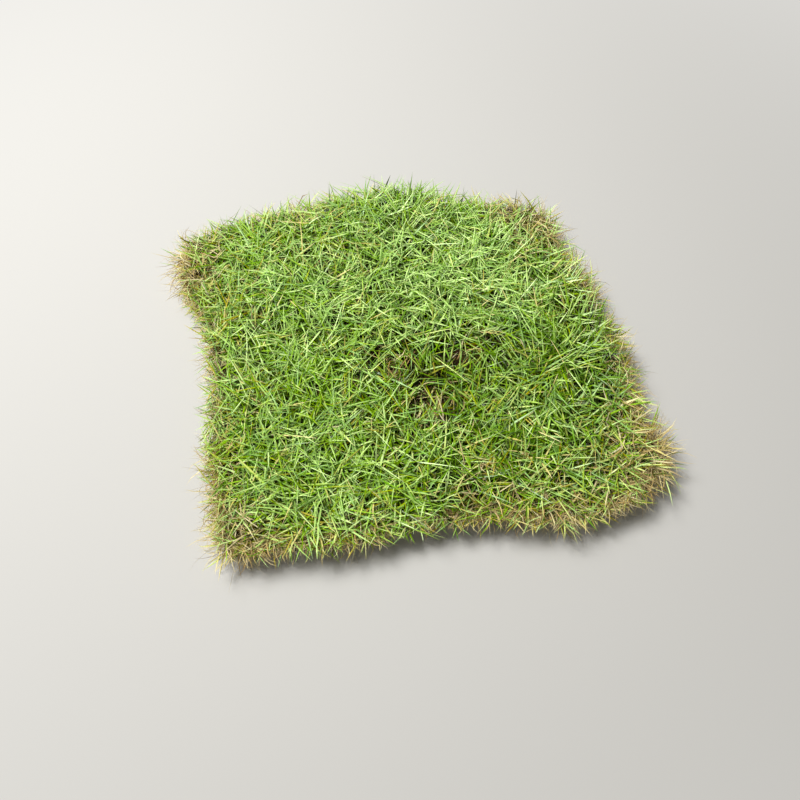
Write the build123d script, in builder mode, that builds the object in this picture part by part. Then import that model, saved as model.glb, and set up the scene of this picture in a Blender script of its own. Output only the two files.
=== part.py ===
from build123d import *
import os
from math import ceil, cos, exp, pi, sin

os.makedirs("parts", exist_ok=True)

# A hand-cut slab of turf, in millimetres.
# X runs along the long cut, Y from the near cut to the far one, and Z is up.
# The soil mat is what the spade lifts: a thin slab of earth, held together by roots.
# The sward is the layer of grass that grows from it and leans out over its cut edges.

# Driving dimensions of the soil mat
mat_length = 466
mat_width = 410
mat_thickness = 26
corner_cut = 24

# The side of the mat at its foot, its waist and its brow: how far it is drawn in, and how high it is.
# The brow lies above the mat's uneven top, which cuts the side off.
foot_inset = 7
waist_inset = 0
waist_height = 13
brow_inset = 4
brow_rise = 9

# How far each corner of the cut lies out of square, as (x, y)
near_left_shift = (6, -7)
near_right_shift = (8, 2)
far_right_shift = (-31, -37)
far_left_shift = (-19, -20)

# How far each cut runs out (+) or in (-) of a straight line, at even steps along it
near_cut = (-6, -3, 1, -3, -1, 2, 14, 17, 4)
right_cut = (10, 2, 8, 13, 7, 8, -8, -4)
far_cut = (-4, 7, 18, 38, 36, 34, 25, 18, -3)
left_cut = (0, -1, -16, -19, -16, -9, -7, -7)

# The sward's height, and the tufts that make up its rim.
# The turns, in radians from one tuft to the next, make a tuft's size and lean differ from its neighbours'.
grass_height = 25
tuft_spacing = 21
tuft_lean = 6
lean_turn = 0.9
size_turn = 2.4
size_range = 0.36

# The rim from below: the skirt hangs over the mat's side, the overhang is where the grass leans out
# furthest, and the crown is drawn back in. Each has a reach beyond the mat's side and tufts of a length.
skirt_drop = 13
skirt_reach = 2
skirt_tuft = 6
overhang_reach = 13.5
overhang_tuft = 14
crown_reach = -8
crown_tuft = 6

# The relief of the grass: two tussocks, a worn dip, low swells all over and a droop at the edges.
# The soil under it rises and sinks with it, by a share.
far_tussock_height = 11
far_tussock_radius = 75
far_tussock_inset = 30
far_tussock_aside = 22
right_tussock_height = 6
right_tussock_radius = 60
right_tussock_inset = 55
right_tussock_aside = -48
dip_depth = 8
dip_radius = 80
dip_place = (10, -37)
swell_height = 1.8
swell_spacing = 150
swell_drift = 1
edge_droop = 7
soil_share = 0.25
relief_step = 40
relief_margin = 40
relief_base = -80


def corner(side_x, side_y, shift, inset):
    """A corner of the cut, out of square by its shift and drawn in by the inset."""
    x = side_x * (mat_length / 2 - inset) + shift[0]
    y = side_y * (mat_width / 2 - inset) + shift[1]
    return Vector(x, y)


def even_spline(points, periodic=False):
    """A smooth curve through the points, timed evenly, so that a loft through several stays simple."""
    times = list(range(len(points) + periodic))
    return add(Edge.make_spline(points, periodic=periodic, parameters=times))


def cut_points(start, end, wander):
    """The points of one cut. They stop short of both corners, so that the curve rounds those off."""
    along = (end - start).normalized()
    outward = Vector(along.Y, -along.X)
    first = start + along * corner_cut
    run = end - along * corner_cut - first
    steps = len(wander) - 1
    return [first + run * (i / steps) + outward * out for i, out in enumerate(wander)]


def mat_outline(inset):
    """The closed outline of the mat, drawn in by an inset."""
    near_left = corner(-1, -1, near_left_shift, inset)
    near_right = corner(1, -1, near_right_shift, inset)
    far_right = corner(1, 1, far_right_shift, inset)
    far_left = corner(-1, 1, far_left_shift, inset)
    points = cut_points(near_left, near_right, near_cut)
    points += cut_points(near_right, far_right, right_cut)
    points += cut_points(far_right, far_left, far_cut)
    points += cut_points(far_left, near_left, left_cut)
    return even_spline(points, periodic=True)


def swell(x, y, centre, radius, height):
    """A round hump, or a dip where the height is negative."""
    squared = (x - centre[0]) ** 2 + (y - centre[1]) ** 2
    return height * exp(-squared / radius**2)


def grass_relief(x, y):
    """How far the grass stands above or below its usual height at a place."""
    far_tussock = (far_tussock_aside, mat_width / 2 - far_tussock_inset)
    right_tussock = (mat_length / 2 - right_tussock_inset, right_tussock_aside)
    rise = swell(x, y, far_tussock, far_tussock_radius, far_tussock_height)
    rise += swell(x, y, right_tussock, right_tussock_radius, right_tussock_height)
    rise += swell(x, y, dip_place, dip_radius, -dip_depth)
    rise -= edge_droop * ((2 * x / mat_length) ** 4 + (2 * y / mat_width) ** 4)
    across = 2 * pi * x / swell_spacing
    back = 2 * pi * y / swell_spacing
    ripple = sin(across + swell_drift * sin(back / 2)) * cos(back - swell_drift * sin(across / 3))
    return rise + swell_height * ripple


def relief_block(height, share):
    """A block that is wider than the slab, under the uneven top of one of its layers."""
    margin = overhang_reach + overhang_tuft + relief_margin
    columns = ceil((mat_length / 2 + margin) / relief_step)
    rows = ceil((mat_width / 2 + margin) / relief_step)
    across = [column * relief_step for column in range(-columns, columns + 1)]
    with BuildPart() as block:
        for row in range(-rows, rows + 1):
            y = row * relief_step
            with BuildSketch(Plane.XZ.offset(-y)):
                with BuildLine():
                    heights = [height + share * grass_relief(x, y) for x in across]
                    even_spline([Vector(x, z) for x, z in zip(across, heights)])
                    right, left = across[-1], across[0]
                    base = [(right, relief_base), (left, relief_base)]
                    Polyline((right, heights[-1]), *base, (left, heights[0]))
                make_face()
        loft()
    return block.part


def tufted_outline(path, reach, tuft):
    """A toothed line round a path. Its notches stand off by the reach, and its tips by a tuft more."""
    count = round(path.length / tuft_spacing)
    points = []
    for i in range(count):
        notch = i / count
        along = path % notch
        points.append((path @ notch) + Vector(along.Y, -along.X) * reach)
        tip = (i + 0.5) / count
        along = path % tip
        size = tuft * (1 - size_range + size_range * sin(size_turn * i))
        lean = tuft_lean * sin(lean_turn * i) * tuft / overhang_tuft
        points.append((path @ tip) + Vector(along.Y, -along.X) * (reach + size) + along * lean)
    return Polyline(*points, close=True)


# The soil mat: its side stands out at the waist, and its top is gently uneven
mat_sections = (
    (0, foot_inset),
    (waist_height, waist_inset),
    (mat_thickness + brow_rise, brow_inset),
)
soil_block = relief_block(mat_thickness, soil_share)
with BuildPart() as soil_mat:
    for height, inset in mat_sections:
        with BuildSketch(Plane.XY.offset(height)):
            with BuildLine():
                mat_outline(inset)
            make_face()
    loft(ruled=True)
    add(soil_block, mode=Mode.INTERSECT)

# The sward: a lid of grass with a tufted rim, seated on the mat's top and round the brow of its side
with BuildLine(mode=Mode.PRIVATE) as waist:
    mat_outline(waist_inset)
mat_waist = waist.line.edge()
grass_top = mat_thickness + grass_height
crown_height = grass_top + far_tussock_height + right_tussock_height + swell_height
rim_sections = (
    (mat_thickness - skirt_drop, skirt_reach, skirt_tuft),
    (mat_thickness, overhang_reach, overhang_tuft),
    (crown_height, crown_reach, crown_tuft),
)
sward_block = relief_block(grass_top, 1)
with BuildPart() as grass_sward:
    for height, reach, tuft in rim_sections:
        with BuildSketch(Plane.XY.offset(height)):
            with BuildLine():
                tufted_outline(mat_waist, reach, tuft)
            make_face()
    loft(ruled=True)
    add(sward_block, mode=Mode.INTERSECT)
    add(soil_mat.part, mode=Mode.SUBTRACT)

# The slab lies on the ground, centred on the origin
centre = grass_sward.part.bounding_box().center()
for layer in (soil_mat, grass_sward):
    layer.part.move(Location((-centre.X, -centre.Y, 0)))

soil_mat.part.label = "soil_mat"
export_step(soil_mat.part, "parts/soil_mat.step")

grass_sward.part.label = "grass_sward"
export_step(grass_sward.part, "parts/grass_sward.step")
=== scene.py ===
# %% [markdown]
# # A slab of turf
#
# This lesson dresses a CAD model of a hand-cut slab of turf, so that it looks like the real thing.
# The CAD gives two solids: a mat of soil, and the layer of grass that grows from it. Here the soil gets
# a crumbly surface, and the grass is grown leaf by leaf inside the space that its solid holds.
# Everything is in metres, in the frame of the CAD: X runs along the near edge, Y away from it, Z up.

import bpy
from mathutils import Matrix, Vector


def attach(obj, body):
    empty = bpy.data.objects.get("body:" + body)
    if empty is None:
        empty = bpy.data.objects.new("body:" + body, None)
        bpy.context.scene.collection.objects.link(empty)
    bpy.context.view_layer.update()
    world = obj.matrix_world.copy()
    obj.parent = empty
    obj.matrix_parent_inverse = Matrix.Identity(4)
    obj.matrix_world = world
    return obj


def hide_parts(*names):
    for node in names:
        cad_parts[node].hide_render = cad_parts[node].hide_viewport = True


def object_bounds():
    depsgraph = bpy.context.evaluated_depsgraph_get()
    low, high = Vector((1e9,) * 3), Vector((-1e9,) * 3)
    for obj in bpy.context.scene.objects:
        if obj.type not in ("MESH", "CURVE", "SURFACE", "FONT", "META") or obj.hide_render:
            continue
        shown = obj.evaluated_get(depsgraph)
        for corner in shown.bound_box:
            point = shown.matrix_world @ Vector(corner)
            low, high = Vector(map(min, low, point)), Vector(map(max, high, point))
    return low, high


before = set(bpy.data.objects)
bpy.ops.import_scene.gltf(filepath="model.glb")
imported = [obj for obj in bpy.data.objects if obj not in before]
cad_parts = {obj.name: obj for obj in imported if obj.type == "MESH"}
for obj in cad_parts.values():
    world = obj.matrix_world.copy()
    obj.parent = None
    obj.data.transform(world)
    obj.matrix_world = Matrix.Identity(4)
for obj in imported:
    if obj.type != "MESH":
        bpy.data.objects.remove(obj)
cad_box = [list(corner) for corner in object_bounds()]
print("CAD box:", cad_box)

# %% Libraries and units
from math import cos, pi, radians, sin

import bmesh
import bpy
import numpy as np
from mathutils import Vector, noise
from mathutils.bvhtree import BVHTree
from mathutils.geometry import delaunay_2d_cdt
from mathutils.kdtree import KDTree

MM = 0.001
rng = np.random.default_rng(18)

# %% [markdown]
# ## Colours
#
# Colours are easiest to pick as sRGB hex values, but Blender's sockets work in linear light. One
# function does the turning, so a hex value below renders about as it looks in a colour picker.

# %% Turn a hex colour to linear light
def linear(hex_colour):
    """An sRGB hex colour as linear red, green, blue and alpha."""
    channels = [int(hex_colour[start:start + 2], 16) / 255 for start in (1, 3, 5)]
    bright = [((c + 0.055) / 1.055) ** 2.4 if c > 0.04045 else c / 12.92 for c in channels]
    return (*bright, 1.0)


# %% [markdown]
# ## Nodes
#
# A material is a small graph of nodes. Writing it in code is a lot of repetition, so one function adds
# a node, sets its properties, and feeds its inputs with either a value or another node's output.

# %% Add a node with its settings and links
def add_node(tree, kind, inputs=None, stops=None, **settings):
    """Adds a node. Inputs are values or sockets by name or number; stops are a colour ramp's colours."""
    node = tree.nodes.new(kind)
    for name, value in settings.items():
        setattr(node, name, value)
    for name, value in (inputs or {}).items():
        if isinstance(value, bpy.types.NodeSocket):
            tree.links.new(value, node.inputs[name])
        else:
            node.inputs[name].default_value = value
    if stops:
        elements = node.color_ramp.elements
        elements.remove(elements[1])
        elements[0].position, elements[0].color = stops[0][0], linear(stops[0][1])
        for place, colour in stops[1:]:
            elements.new(place).color = linear(colour)
    return node


def new_material(name):
    """An empty material and its node tree."""
    material = bpy.data.materials.new(name)
    material.use_nodes = True
    material.node_tree.nodes.clear()
    return material, material.node_tree


# %% Put an object into the scene
def new_object(name, data):
    """An object that shows some data, linked to the scene."""
    thing = bpy.data.objects.new(name, data)
    bpy.context.scene.collection.objects.link(thing)
    return thing


# %% [markdown]
# ## The camera
#
# The slab is seen from above, from its near left, by a camera 0.66 m over the floor. The lens and the
# place were worked out from the size of the slab and the way its far side narrows.

# %% Place the camera
CAMERA_PLACE = Vector((-55.6, -315.1, 660.0)) * MM
CAMERA_PITCH = 68
CAMERA_HEADING = 9
LENS_MM = 27.05
SENSOR_MM = 36
CLIP_START = 10 * MM

camera = new_object("camera", bpy.data.cameras.new("camera"))
camera.data.lens = LENS_MM
camera.data.sensor_width = SENSOR_MM
camera.data.clip_start = CLIP_START
camera.location = CAMERA_PLACE
camera.rotation_euler = (radians(90 - CAMERA_PITCH), 0, radians(-CAMERA_HEADING))
bpy.context.scene.camera = camera
print("camera at", tuple(round(c, 3) for c in CAMERA_PLACE))

# %% [markdown]
# ## Floor and light
#
# A pale matt floor and one large soft box, with an even sky to fill the shade. The light's strength is
# chosen so that a level matt surface renders at about its own colour. A soft box that isn't too large
# keeps a bright streak on each glossy leaf, and deep gaps between the leaves stay dark. Far from the
# slab the floor fades into the backdrop for the camera alone, so that no horizon shows from low down.

# %% Lay the floor
FLOOR_RADIUS = 4.0
FLOOR_SIDES = 96

floor_mesh = bpy.data.meshes.new("floor")
floor_form = bmesh.new()
bmesh.ops.create_circle(floor_form, cap_ends=True, segments=FLOOR_SIDES, radius=FLOOR_RADIUS)
floor_form.to_mesh(floor_mesh)
floor_form.free()
floor = new_object("floor", floor_mesh)

BACKDROP = linear("#ecebe8")
FADE_START = 0.4
FADE_END = 1.5

floor_material, tree = new_material("pale_matt_studio_floor")
place = add_node(tree, "ShaderNodeNewGeometry").outputs["Position"]
away = add_node(tree, "ShaderNodeVectorMath", {0: place}, operation="LENGTH")
fade = add_node(tree, "ShaderNodeMapRange", {"Value": away.outputs["Value"], 1: FADE_START, 2: FADE_END},
                interpolation_type="SMOOTHSTEP")
seen = add_node(tree, "ShaderNodeLightPath").outputs["Is Camera Ray"]
share = add_node(tree, "ShaderNodeMath", {0: fade.outputs[0], 1: seen}, operation="MULTIPLY")
matt = add_node(tree, "ShaderNodeBsdfPrincipled", {"Base Color": linear("#d9d7d2"), "Roughness": 0.9})
glow = add_node(tree, "ShaderNodeEmission", {"Color": BACKDROP, "Strength": 1.0})
both = add_node(tree, "ShaderNodeMixShader", {0: share.outputs[0], 1: matt.outputs[0], 2: glow.outputs[0]})
add_node(tree, "ShaderNodeOutputMaterial", {"Surface": both.outputs[0]})
floor_mesh.materials.append(floor_material)
print("floor:", 2 * FLOOR_RADIUS, "m across")

# %% Light the studio
KEY_PLACE = Vector((-0.95, 0.75, 2.3))
KEY_SIZE = 0.8
KEY_WATTS = 71
SKY_STRENGTH = 0.16

key = new_object("key_light", bpy.data.lights.new("key_light", "AREA"))
key.data.shape = "DISK"
key.data.size = KEY_SIZE
key.data.energy = KEY_WATTS
key.location = KEY_PLACE
key.rotation_euler = (-KEY_PLACE).to_track_quat("-Z", "Y").to_euler()

world = bpy.data.worlds.new("even_sky")
world.use_nodes = True
tree = world.node_tree
tree.nodes.clear()
seen = add_node(tree, "ShaderNodeLightPath").outputs["Is Camera Ray"]
sky = add_node(tree, "ShaderNodeBackground", {"Color": linear("#f6f5ee"), "Strength": SKY_STRENGTH})
backdrop = add_node(tree, "ShaderNodeBackground", {"Color": BACKDROP, "Strength": 1.0})
both = add_node(tree, "ShaderNodeMixShader", {0: seen, 1: sky.outputs[0], 2: backdrop.outputs[0]})
add_node(tree, "ShaderNodeOutputWorld", {"Surface": both.outputs[0]})
bpy.context.scene.world = world
bpy.context.scene.view_settings.view_transform = "Standard"
print("key light:", KEY_WATTS, "W,", round(KEY_PLACE.length, 2), "m from the slab")

# %% [markdown]
# ## Reading the CAD surfaces
#
# The new soil and the grass have to follow the CAD. A BVH tree answers quickly where a ray meets a
# mesh, so rays from the side give the mat's outline, and rays from above give the height of both tops.

# %% Make the CAD surfaces ready for rays
def surface_of(node):
    """A node's surface as a tree that rays can be cast at."""
    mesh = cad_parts[node].data
    corners = [vertex.co.copy() for vertex in mesh.vertices]
    return BVHTree.FromPolygons(corners, [tuple(face.vertices) for face in mesh.polygons])


soil_surface = surface_of("soil_mat")
sward_surface = surface_of("grass_sward")

# %% Walk round the side of the soil
RAY_START = 0.6
WAIST_HEIGHT = 13 * MM
SIDE_GRAIN = 1.35 * MM
TRIAL_RAYS = 3600
SLOPE_SPAN = 4  # columns to either side that the way out is measured over


def side_hit(angle, height):
    """Where a level ray towards the middle of the slab meets the side of the soil."""
    outward = Vector((cos(angle), sin(angle), 0))
    start = outward * RAY_START + Vector((0, 0, height))
    return soil_surface.ray_cast(start, -outward)[0]


trial_angles = np.linspace(0, 2 * pi, TRIAL_RAYS, endpoint=False)
trial = np.array([side_hit(angle, WAIST_HEIGHT) for angle in trial_angles])
strides = np.linalg.norm(np.roll(trial, -1, axis=0) - trial, axis=1)
walked = np.concatenate([[0], np.cumsum(strides)])
perimeter = walked[-1]
column_total = round(perimeter / SIDE_GRAIN)
even_walk = np.arange(column_total) * perimeter / column_total
column_angles = np.interp(even_walk, walked, np.append(trial_angles, 2 * pi))
waist = np.array([side_hit(angle, WAIST_HEIGHT) for angle in column_angles])
forward = np.roll(waist, -SLOPE_SPAN, axis=0) - np.roll(waist, SLOPE_SPAN, axis=0)
outward = np.stack([forward[:, 1], -forward[:, 0]], axis=1)
outward /= np.linalg.norm(outward, axis=1, keepdims=True)
print("perimeter", round(perimeter, 3), "m in", column_total, "columns")

# %% Map the height of both tops
GRID_STEP = 4 * MM
GRID_COLUMNS = 151
GRID_ROWS = 135
GRID_X0 = -(GRID_COLUMNS - 1) / 2 * GRID_STEP
GRID_Y0 = -(GRID_ROWS - 1) / 2 * GRID_STEP
LAST_CELL = 1.001  # keeps a place on the grid's far border within its last cell
ABOVE = 0.2


def top_of(surface, x, y):
    """The height of a surface's top at a place, or zero beside it."""
    hit = surface.ray_cast(Vector((x, y, ABOVE)), Vector((0, 0, -1)))[0]
    return hit.z if hit else 0.0


def height_map(surface):
    """The height of a surface's top over an even grid."""
    across = GRID_X0 + np.arange(GRID_COLUMNS) * GRID_STEP
    back = GRID_Y0 + np.arange(GRID_ROWS) * GRID_STEP
    return np.array([[top_of(surface, x, y) for x in across] for y in back])


def height_at(heights, x, y):
    """The height at places between the grid's points."""
    column = np.clip((x - GRID_X0) / GRID_STEP, 0, GRID_COLUMNS - LAST_CELL)
    row = np.clip((y - GRID_Y0) / GRID_STEP, 0, GRID_ROWS - LAST_CELL)
    c, r = column.astype(int), row.astype(int)
    right, back = column - c, row - r
    near = heights[r, c] * (1 - right) + heights[r, c + 1] * right
    far = heights[r + 1, c] * (1 - right) + heights[r + 1, c + 1] * right
    return near * (1 - back) + far * back


soil_heights = height_map(soil_surface)
sward_heights = height_map(sward_surface)
print("soil up to", round(soil_heights.max() / MM, 1), "mm, grass up to",
      round(sward_heights.max() / MM, 1), "mm")

# %% Measure how far a place lies from the cut edge
edge_tree = KDTree(column_total)
for index, place in enumerate(waist):
    edge_tree.insert((place[0], place[1], 0), index)
edge_tree.balance()
waist_radius = np.hypot(waist[:, 0], waist[:, 1])


def edge_of(x, y):
    """How far in from the cut edge each place lies (less than zero outside), and the way out there."""
    found = [edge_tree.find((px, py, 0)) for px, py in zip(x, y)]
    index = np.array([hit[1] for hit in found])
    gap = np.array([hit[2] for hit in found])
    inside = np.hypot(x, y) < waist_radius[index]
    return np.where(inside, gap, -gap), outward[index]


def in_from_edge(column, inset):
    """The x and y of places that lie in from the cut edge, at columns of the side."""
    return [waist[column, axis] - outward[column, axis] * inset for axis in (0, 1)]


def headings_out(column, spread):
    """Headings out of the cut edge, at columns of the side, each shaken by some radians."""
    return np.arctan2(outward[column, 1], outward[column, 0]) + rng.normal(0, spread, len(column))


# %% [markdown]
# ## The mat of soil
#
# A spade leaves a flat underside and a torn, crumbly side. Remeshing and displacing the CAD solid would
# spend as many faces on the hidden top as on the side that shows. So the mat is laid out as fine rows of
# points round the side, and a looser scatter of points, joined by Delaunay triangles, over the top and the
# underside. Noise at the size of lumps and of crumbs then pushes every point in or out.

# %% Crumble a point of the soil
OCTAVE_DROP = 1.0
OCTAVE_RATIO = 2.0
LUMP_SIZE = 17 * MM
LUMP_DEPTH = 2.2 * MM
LUMP_OCTAVES = 3
CRUMB_SIZE = 5 * MM
CRUMB_DEPTH = 2.6 * MM
CRUMB_MIDDLE = 0.45  # the usual distance to the middle of a Voronoi cell


def cloud(place, size, octaves):
    """A random value from about -1 to 1 that changes over a size. Each octave has half the size."""
    return noise.fractal(Vector(place) / size, OCTAVE_DROP, OCTAVE_RATIO, octaves)


def crumbling(place):
    """How far the soil stands out at a place: broad lumps, and crumbs the size of peas on them."""
    lumps = cloud(place, LUMP_SIZE, LUMP_OCTAVES)
    crumbs = CRUMB_MIDDLE - noise.voronoi(Vector(place) / CRUMB_SIZE)[0][0]
    return LUMP_DEPTH * lumps + CRUMB_DEPTH * crumbs


# %% Build the side of the mat
SIDE_ROWS = 19
BROW_SET_IN = 2.5 * MM
BROW_CLEARANCE = 0.4 * MM
BROW_LIFT = 0.4

brow_places = waist[:, :2] - outward * BROW_SET_IN
brow_heights = np.array([top_of(soil_surface, x, y) for x, y in brow_places])
side = np.empty((SIDE_ROWS + 1, column_total, 3))
for row in range(SIDE_ROWS + 1):
    for column in range(column_total):
        brow = brow_heights[column]
        height = brow * row / SIDE_ROWS
        level = min(max(height, BROW_CLEARANCE), brow - BROW_CLEARANCE)
        hit = side_hit(column_angles[column], level)
        side[row, column] = (hit.x, hit.y, height)

smooth_foot = side[0, :, :2].copy()
smooth_brow = side[-1, :, :2].copy()
for row in range(SIDE_ROWS + 1):
    for column in range(column_total):
        out = crumbling(side[row, column])
        side[row, column, :2] += outward[column] * out
        if row == SIDE_ROWS:
            side[row, column, 2] += BROW_LIFT * out
print("side of the soil:", side.shape[0], "rows of", side.shape[1], "points")

# %% Scatter points over the top and the underside
CAP_GRAIN = 4.2 * MM
CAP_MARGIN = 2.4 * MM
FOOT_SET_IN = 8 * MM
TOP_SHARE = 0.7
PIT_DEPTH = 1.4 * MM
PIT_SHARE = 0.35
SHAKE = 0.42
FARTHEST_CUT = 0.27
KEEP_INSIDE = 1
WELD_DISTANCE = 1e-7


def scattered(step, margin):
    """Places on a shaken grid inside the cut edge, as two rows of numbers."""
    across = np.arange(GRID_X0, -GRID_X0, step)
    back = np.arange(GRID_Y0, -GRID_Y0, step)
    x, y = (axis.ravel() for axis in np.meshgrid(across, back))
    x = x + rng.uniform(-SHAKE, SHAKE, x.size) * step
    y = y + rng.uniform(-SHAKE, SHAKE, y.size) * step
    near = np.abs(x) < FARTHEST_CUT
    x, y = x[near], y[near]
    inset, _ = edge_of(x, y)
    keep = inset > margin
    return x[keep], y[keep]


def cap(rim, x, y):
    """Triangles that join a closed rim and the points inside it. The rim's points come first."""
    places = [Vector(place) for place in rim] + [Vector(place) for place in zip(x, y)]
    loop = [(i, (i + 1) % len(rim)) for i in range(len(rim))]
    made = delaunay_2d_cdt(places, loop, [], KEEP_INSIDE, WELD_DISTANCE)
    print("cap:", len(places), "points in,", len(made[0]), "out,", len(made[2]), "faces")
    source = [origin[0] for origin in made[3]]
    return [[source[corner] for corner in face] for face in made[2]]


top_x, top_y = scattered(CAP_GRAIN, CAP_MARGIN + BROW_SET_IN)
top_faces = cap(smooth_brow, top_x, top_y)
top_z = [top_of(soil_surface, x, y) + TOP_SHARE * crumbling((x, y, 0)) for x, y in zip(top_x, top_y)]
foot_x, foot_y = scattered(CAP_GRAIN, CAP_MARGIN + FOOT_SET_IN)
foot_faces = cap(smooth_foot, foot_x, foot_y)
foot_z = [PIT_DEPTH * max(0, PIT_SHARE + cloud((x, y, 0), LUMP_SIZE, LUMP_OCTAVES))
          for x, y in zip(foot_x, foot_y)]

# %% Sew the mat together
soil_points = [tuple(point) for point in side.reshape(-1, 3)]
soil_faces = []
for row in range(SIDE_ROWS):
    for column in range(column_total):
        beside = (column + 1) % column_total
        low, high = row * column_total, (row + 1) * column_total
        soil_faces.append((low + column, low + beside, high + beside, high + column))

first_top = len(soil_points)
soil_points += list(zip(top_x, top_y, top_z))
brow_start = SIDE_ROWS * column_total
for face in top_faces:
    soil_faces.append([brow_start + c if c < column_total else first_top + c - column_total
                       for c in face])
first_foot = len(soil_points)
soil_points += list(zip(foot_x, foot_y, foot_z))
for face in foot_faces:
    soil_faces.append([c if c < column_total else first_foot + c - column_total
                       for c in reversed(face)])

soil_mesh = bpy.data.meshes.new("soil")
soil_mesh.from_pydata(soil_points, [], soil_faces)
soil_form = bmesh.new()
soil_form.from_mesh(soil_mesh)
bmesh.ops.recalc_face_normals(soil_form, faces=soil_form.faces)
open_edges = sum(not edge.is_manifold for edge in soil_form.edges)
soil_form.to_mesh(soil_mesh)
soil_form.free()
soil_mesh.shade_smooth()
soil = new_object("soil", soil_mesh)
print("soil:", len(soil_mesh.polygons), "faces,", open_edges, "open edges")

# %% [markdown]
# ## Loam
#
# The soil is a dark reddish-brown loam, cut while moist and drying at the edges. To the eye that is a
# matt surface whose crumbs differ in tone, lighter where they have dried, with fine pale flecks of root.
# Object coordinates are in metres, so each pattern's scale is one over a real size.

# %% Make the loam material
DAMP_PATCH = 30 * MM
LOAM_CRUMB = 4.5 * MM
LOAM_GRIT = 1.8 * MM
GRIT_RELIEF = 1.2 * MM

loam, tree = new_material("crumbly_moist_loam")
place = add_node(tree, "ShaderNodeTexCoord").outputs["Object"]
patches = add_node(tree, "ShaderNodeTexNoise", {"Vector": place, "Scale": 1 / DAMP_PATCH, "Detail": 6.0})
crumbs = add_node(tree, "ShaderNodeTexVoronoi", {"Vector": place, "Scale": 1 / LOAM_CRUMB})
grit = add_node(tree, "ShaderNodeTexNoise", {"Vector": place, "Scale": 1 / LOAM_GRIT, "Detail": 4.0})
base = add_node(tree, "ShaderNodeValToRGB", {"Fac": patches.outputs["Fac"]},
                stops=[(0.3, "#35241a"), (0.5, "#4f3625"), (0.62, "#6b4c35"), (0.75, "#8c6a4c")])
crumb_tone = add_node(tree, "ShaderNodeSeparateColor", {0: crumbs.outputs["Color"]})
crumb_colour = add_node(tree, "ShaderNodeValToRGB", {"Fac": crumb_tone.outputs[0]},
                        stops=[(0.0, "#2b1c13"), (0.45, "#523724"), (0.8, "#7d5b41"), (1.0, "#a5825e")])
mixed = add_node(tree, "ShaderNodeMix", {0: 0.5, 6: base.outputs[0], 7: crumb_colour.outputs[0]},
                 data_type="RGBA")
fleck = add_node(tree, "ShaderNodeMapRange", {"Value": grit.outputs["Fac"], 1: 0.62, 2: 0.72})
flecked = add_node(tree, "ShaderNodeMix", {0: fleck.outputs[0], 6: mixed.outputs[2], 7: linear("#b8966c")},
                   data_type="RGBA")
# Where the grit relief dips, the loam is darkened towards near black: painted shade in the pits.
dark = add_node(tree, "ShaderNodeMapRange", {"Value": grit.outputs["Fac"], 1: 0.45, 2: 0.3})
shaded = add_node(tree, "ShaderNodeMix", {0: dark.outputs[0], 6: flecked.outputs[2], 7: linear("#1d120c")},
                  data_type="RGBA")
relief = add_node(tree, "ShaderNodeMath", {0: grit.outputs["Fac"], 1: crumbs.outputs["Distance"]},
                  operation="SUBTRACT")
bump = add_node(tree, "ShaderNodeBump", {"Height": relief.outputs[0], "Distance": GRIT_RELIEF})
shader = add_node(tree, "ShaderNodeBsdfPrincipled",
                  {"Base Color": shaded.outputs[2], "Roughness": 0.92, "Specular IOR Level": 0.2,
                   "Normal": bump.outputs[0]})
add_node(tree, "ShaderNodeOutputMaterial", {"Surface": shader.outputs[0]})
soil_mesh.materials.append(loam)
print("loam:", len(tree.nodes), "nodes")

# %% [markdown]
# ## Loose crumbs
#
# Crumbs cling to the torn side. Copies of one small ball, each squashed and dented by its own random
# numbers, are enough at this size, and one mesh holds them all.

# %% Scatter the crumbs
CRUMB_KINDS = [
    # how many, ball subdivisions, least and largest radius
    (260, 2, 1.9, 3.6),
    (800, 1, 0.8, 1.9),
]
CRUMB_SEAT = 0.25
CRUMB_CLEARANCE = 0.3 * MM
CRUMB_STRETCH = (0.65, 1.0)
CRUMB_DENTS = (0.78, 1.12)


def dented_balls(total, subdivisions, least, largest):
    """Points and faces of balls set on the side of the soil, each squashed and dented in its own way."""
    ball = bmesh.new()
    bmesh.ops.create_icosphere(ball, subdivisions=subdivisions, radius=1)
    ball_points = np.array([vertex.co for vertex in ball.verts])
    ball_faces = np.array([[vertex.index for vertex in face.verts] for face in ball.faces])
    ball.free()
    row = rng.integers(0, SIDE_ROWS + 1, total)
    column = rng.integers(0, column_total, total)
    radius = rng.uniform(least, largest, total) * MM
    places = side[row, column].copy()
    places[:, :2] += outward[column] * (CRUMB_SEAT * radius)[:, None]
    places[:, 2] = np.maximum(places[:, 2], radius + CRUMB_CLEARANCE)
    stretch = rng.uniform(*CRUMB_STRETCH, (total, 1, 3))
    dents = rng.uniform(*CRUMB_DENTS, (total, len(ball_points), 1))
    points = ball_points[None] * dents * stretch * radius[:, None, None] + places[:, None]
    faces = ball_faces[None] + np.arange(total)[:, None, None] * len(ball_points)
    return points.reshape(-1, 3), faces.reshape(-1, 3)


crumb_points, crumb_faces = [], []
for kind in CRUMB_KINDS:
    points, faces = dented_balls(*kind)
    crumb_faces += (faces + len(crumb_points)).tolist()
    crumb_points += points.tolist()
crumb_mesh = bpy.data.meshes.new("soil_crumbs")
crumb_mesh.from_pydata(crumb_points, [], crumb_faces)
crumb_mesh.shade_smooth()
crumb_mesh.materials.append(loam)
soil_crumbs = new_object("soil_crumbs", crumb_mesh)
print("crumbs:", len(crumb_mesh.polygons), "faces")

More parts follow.
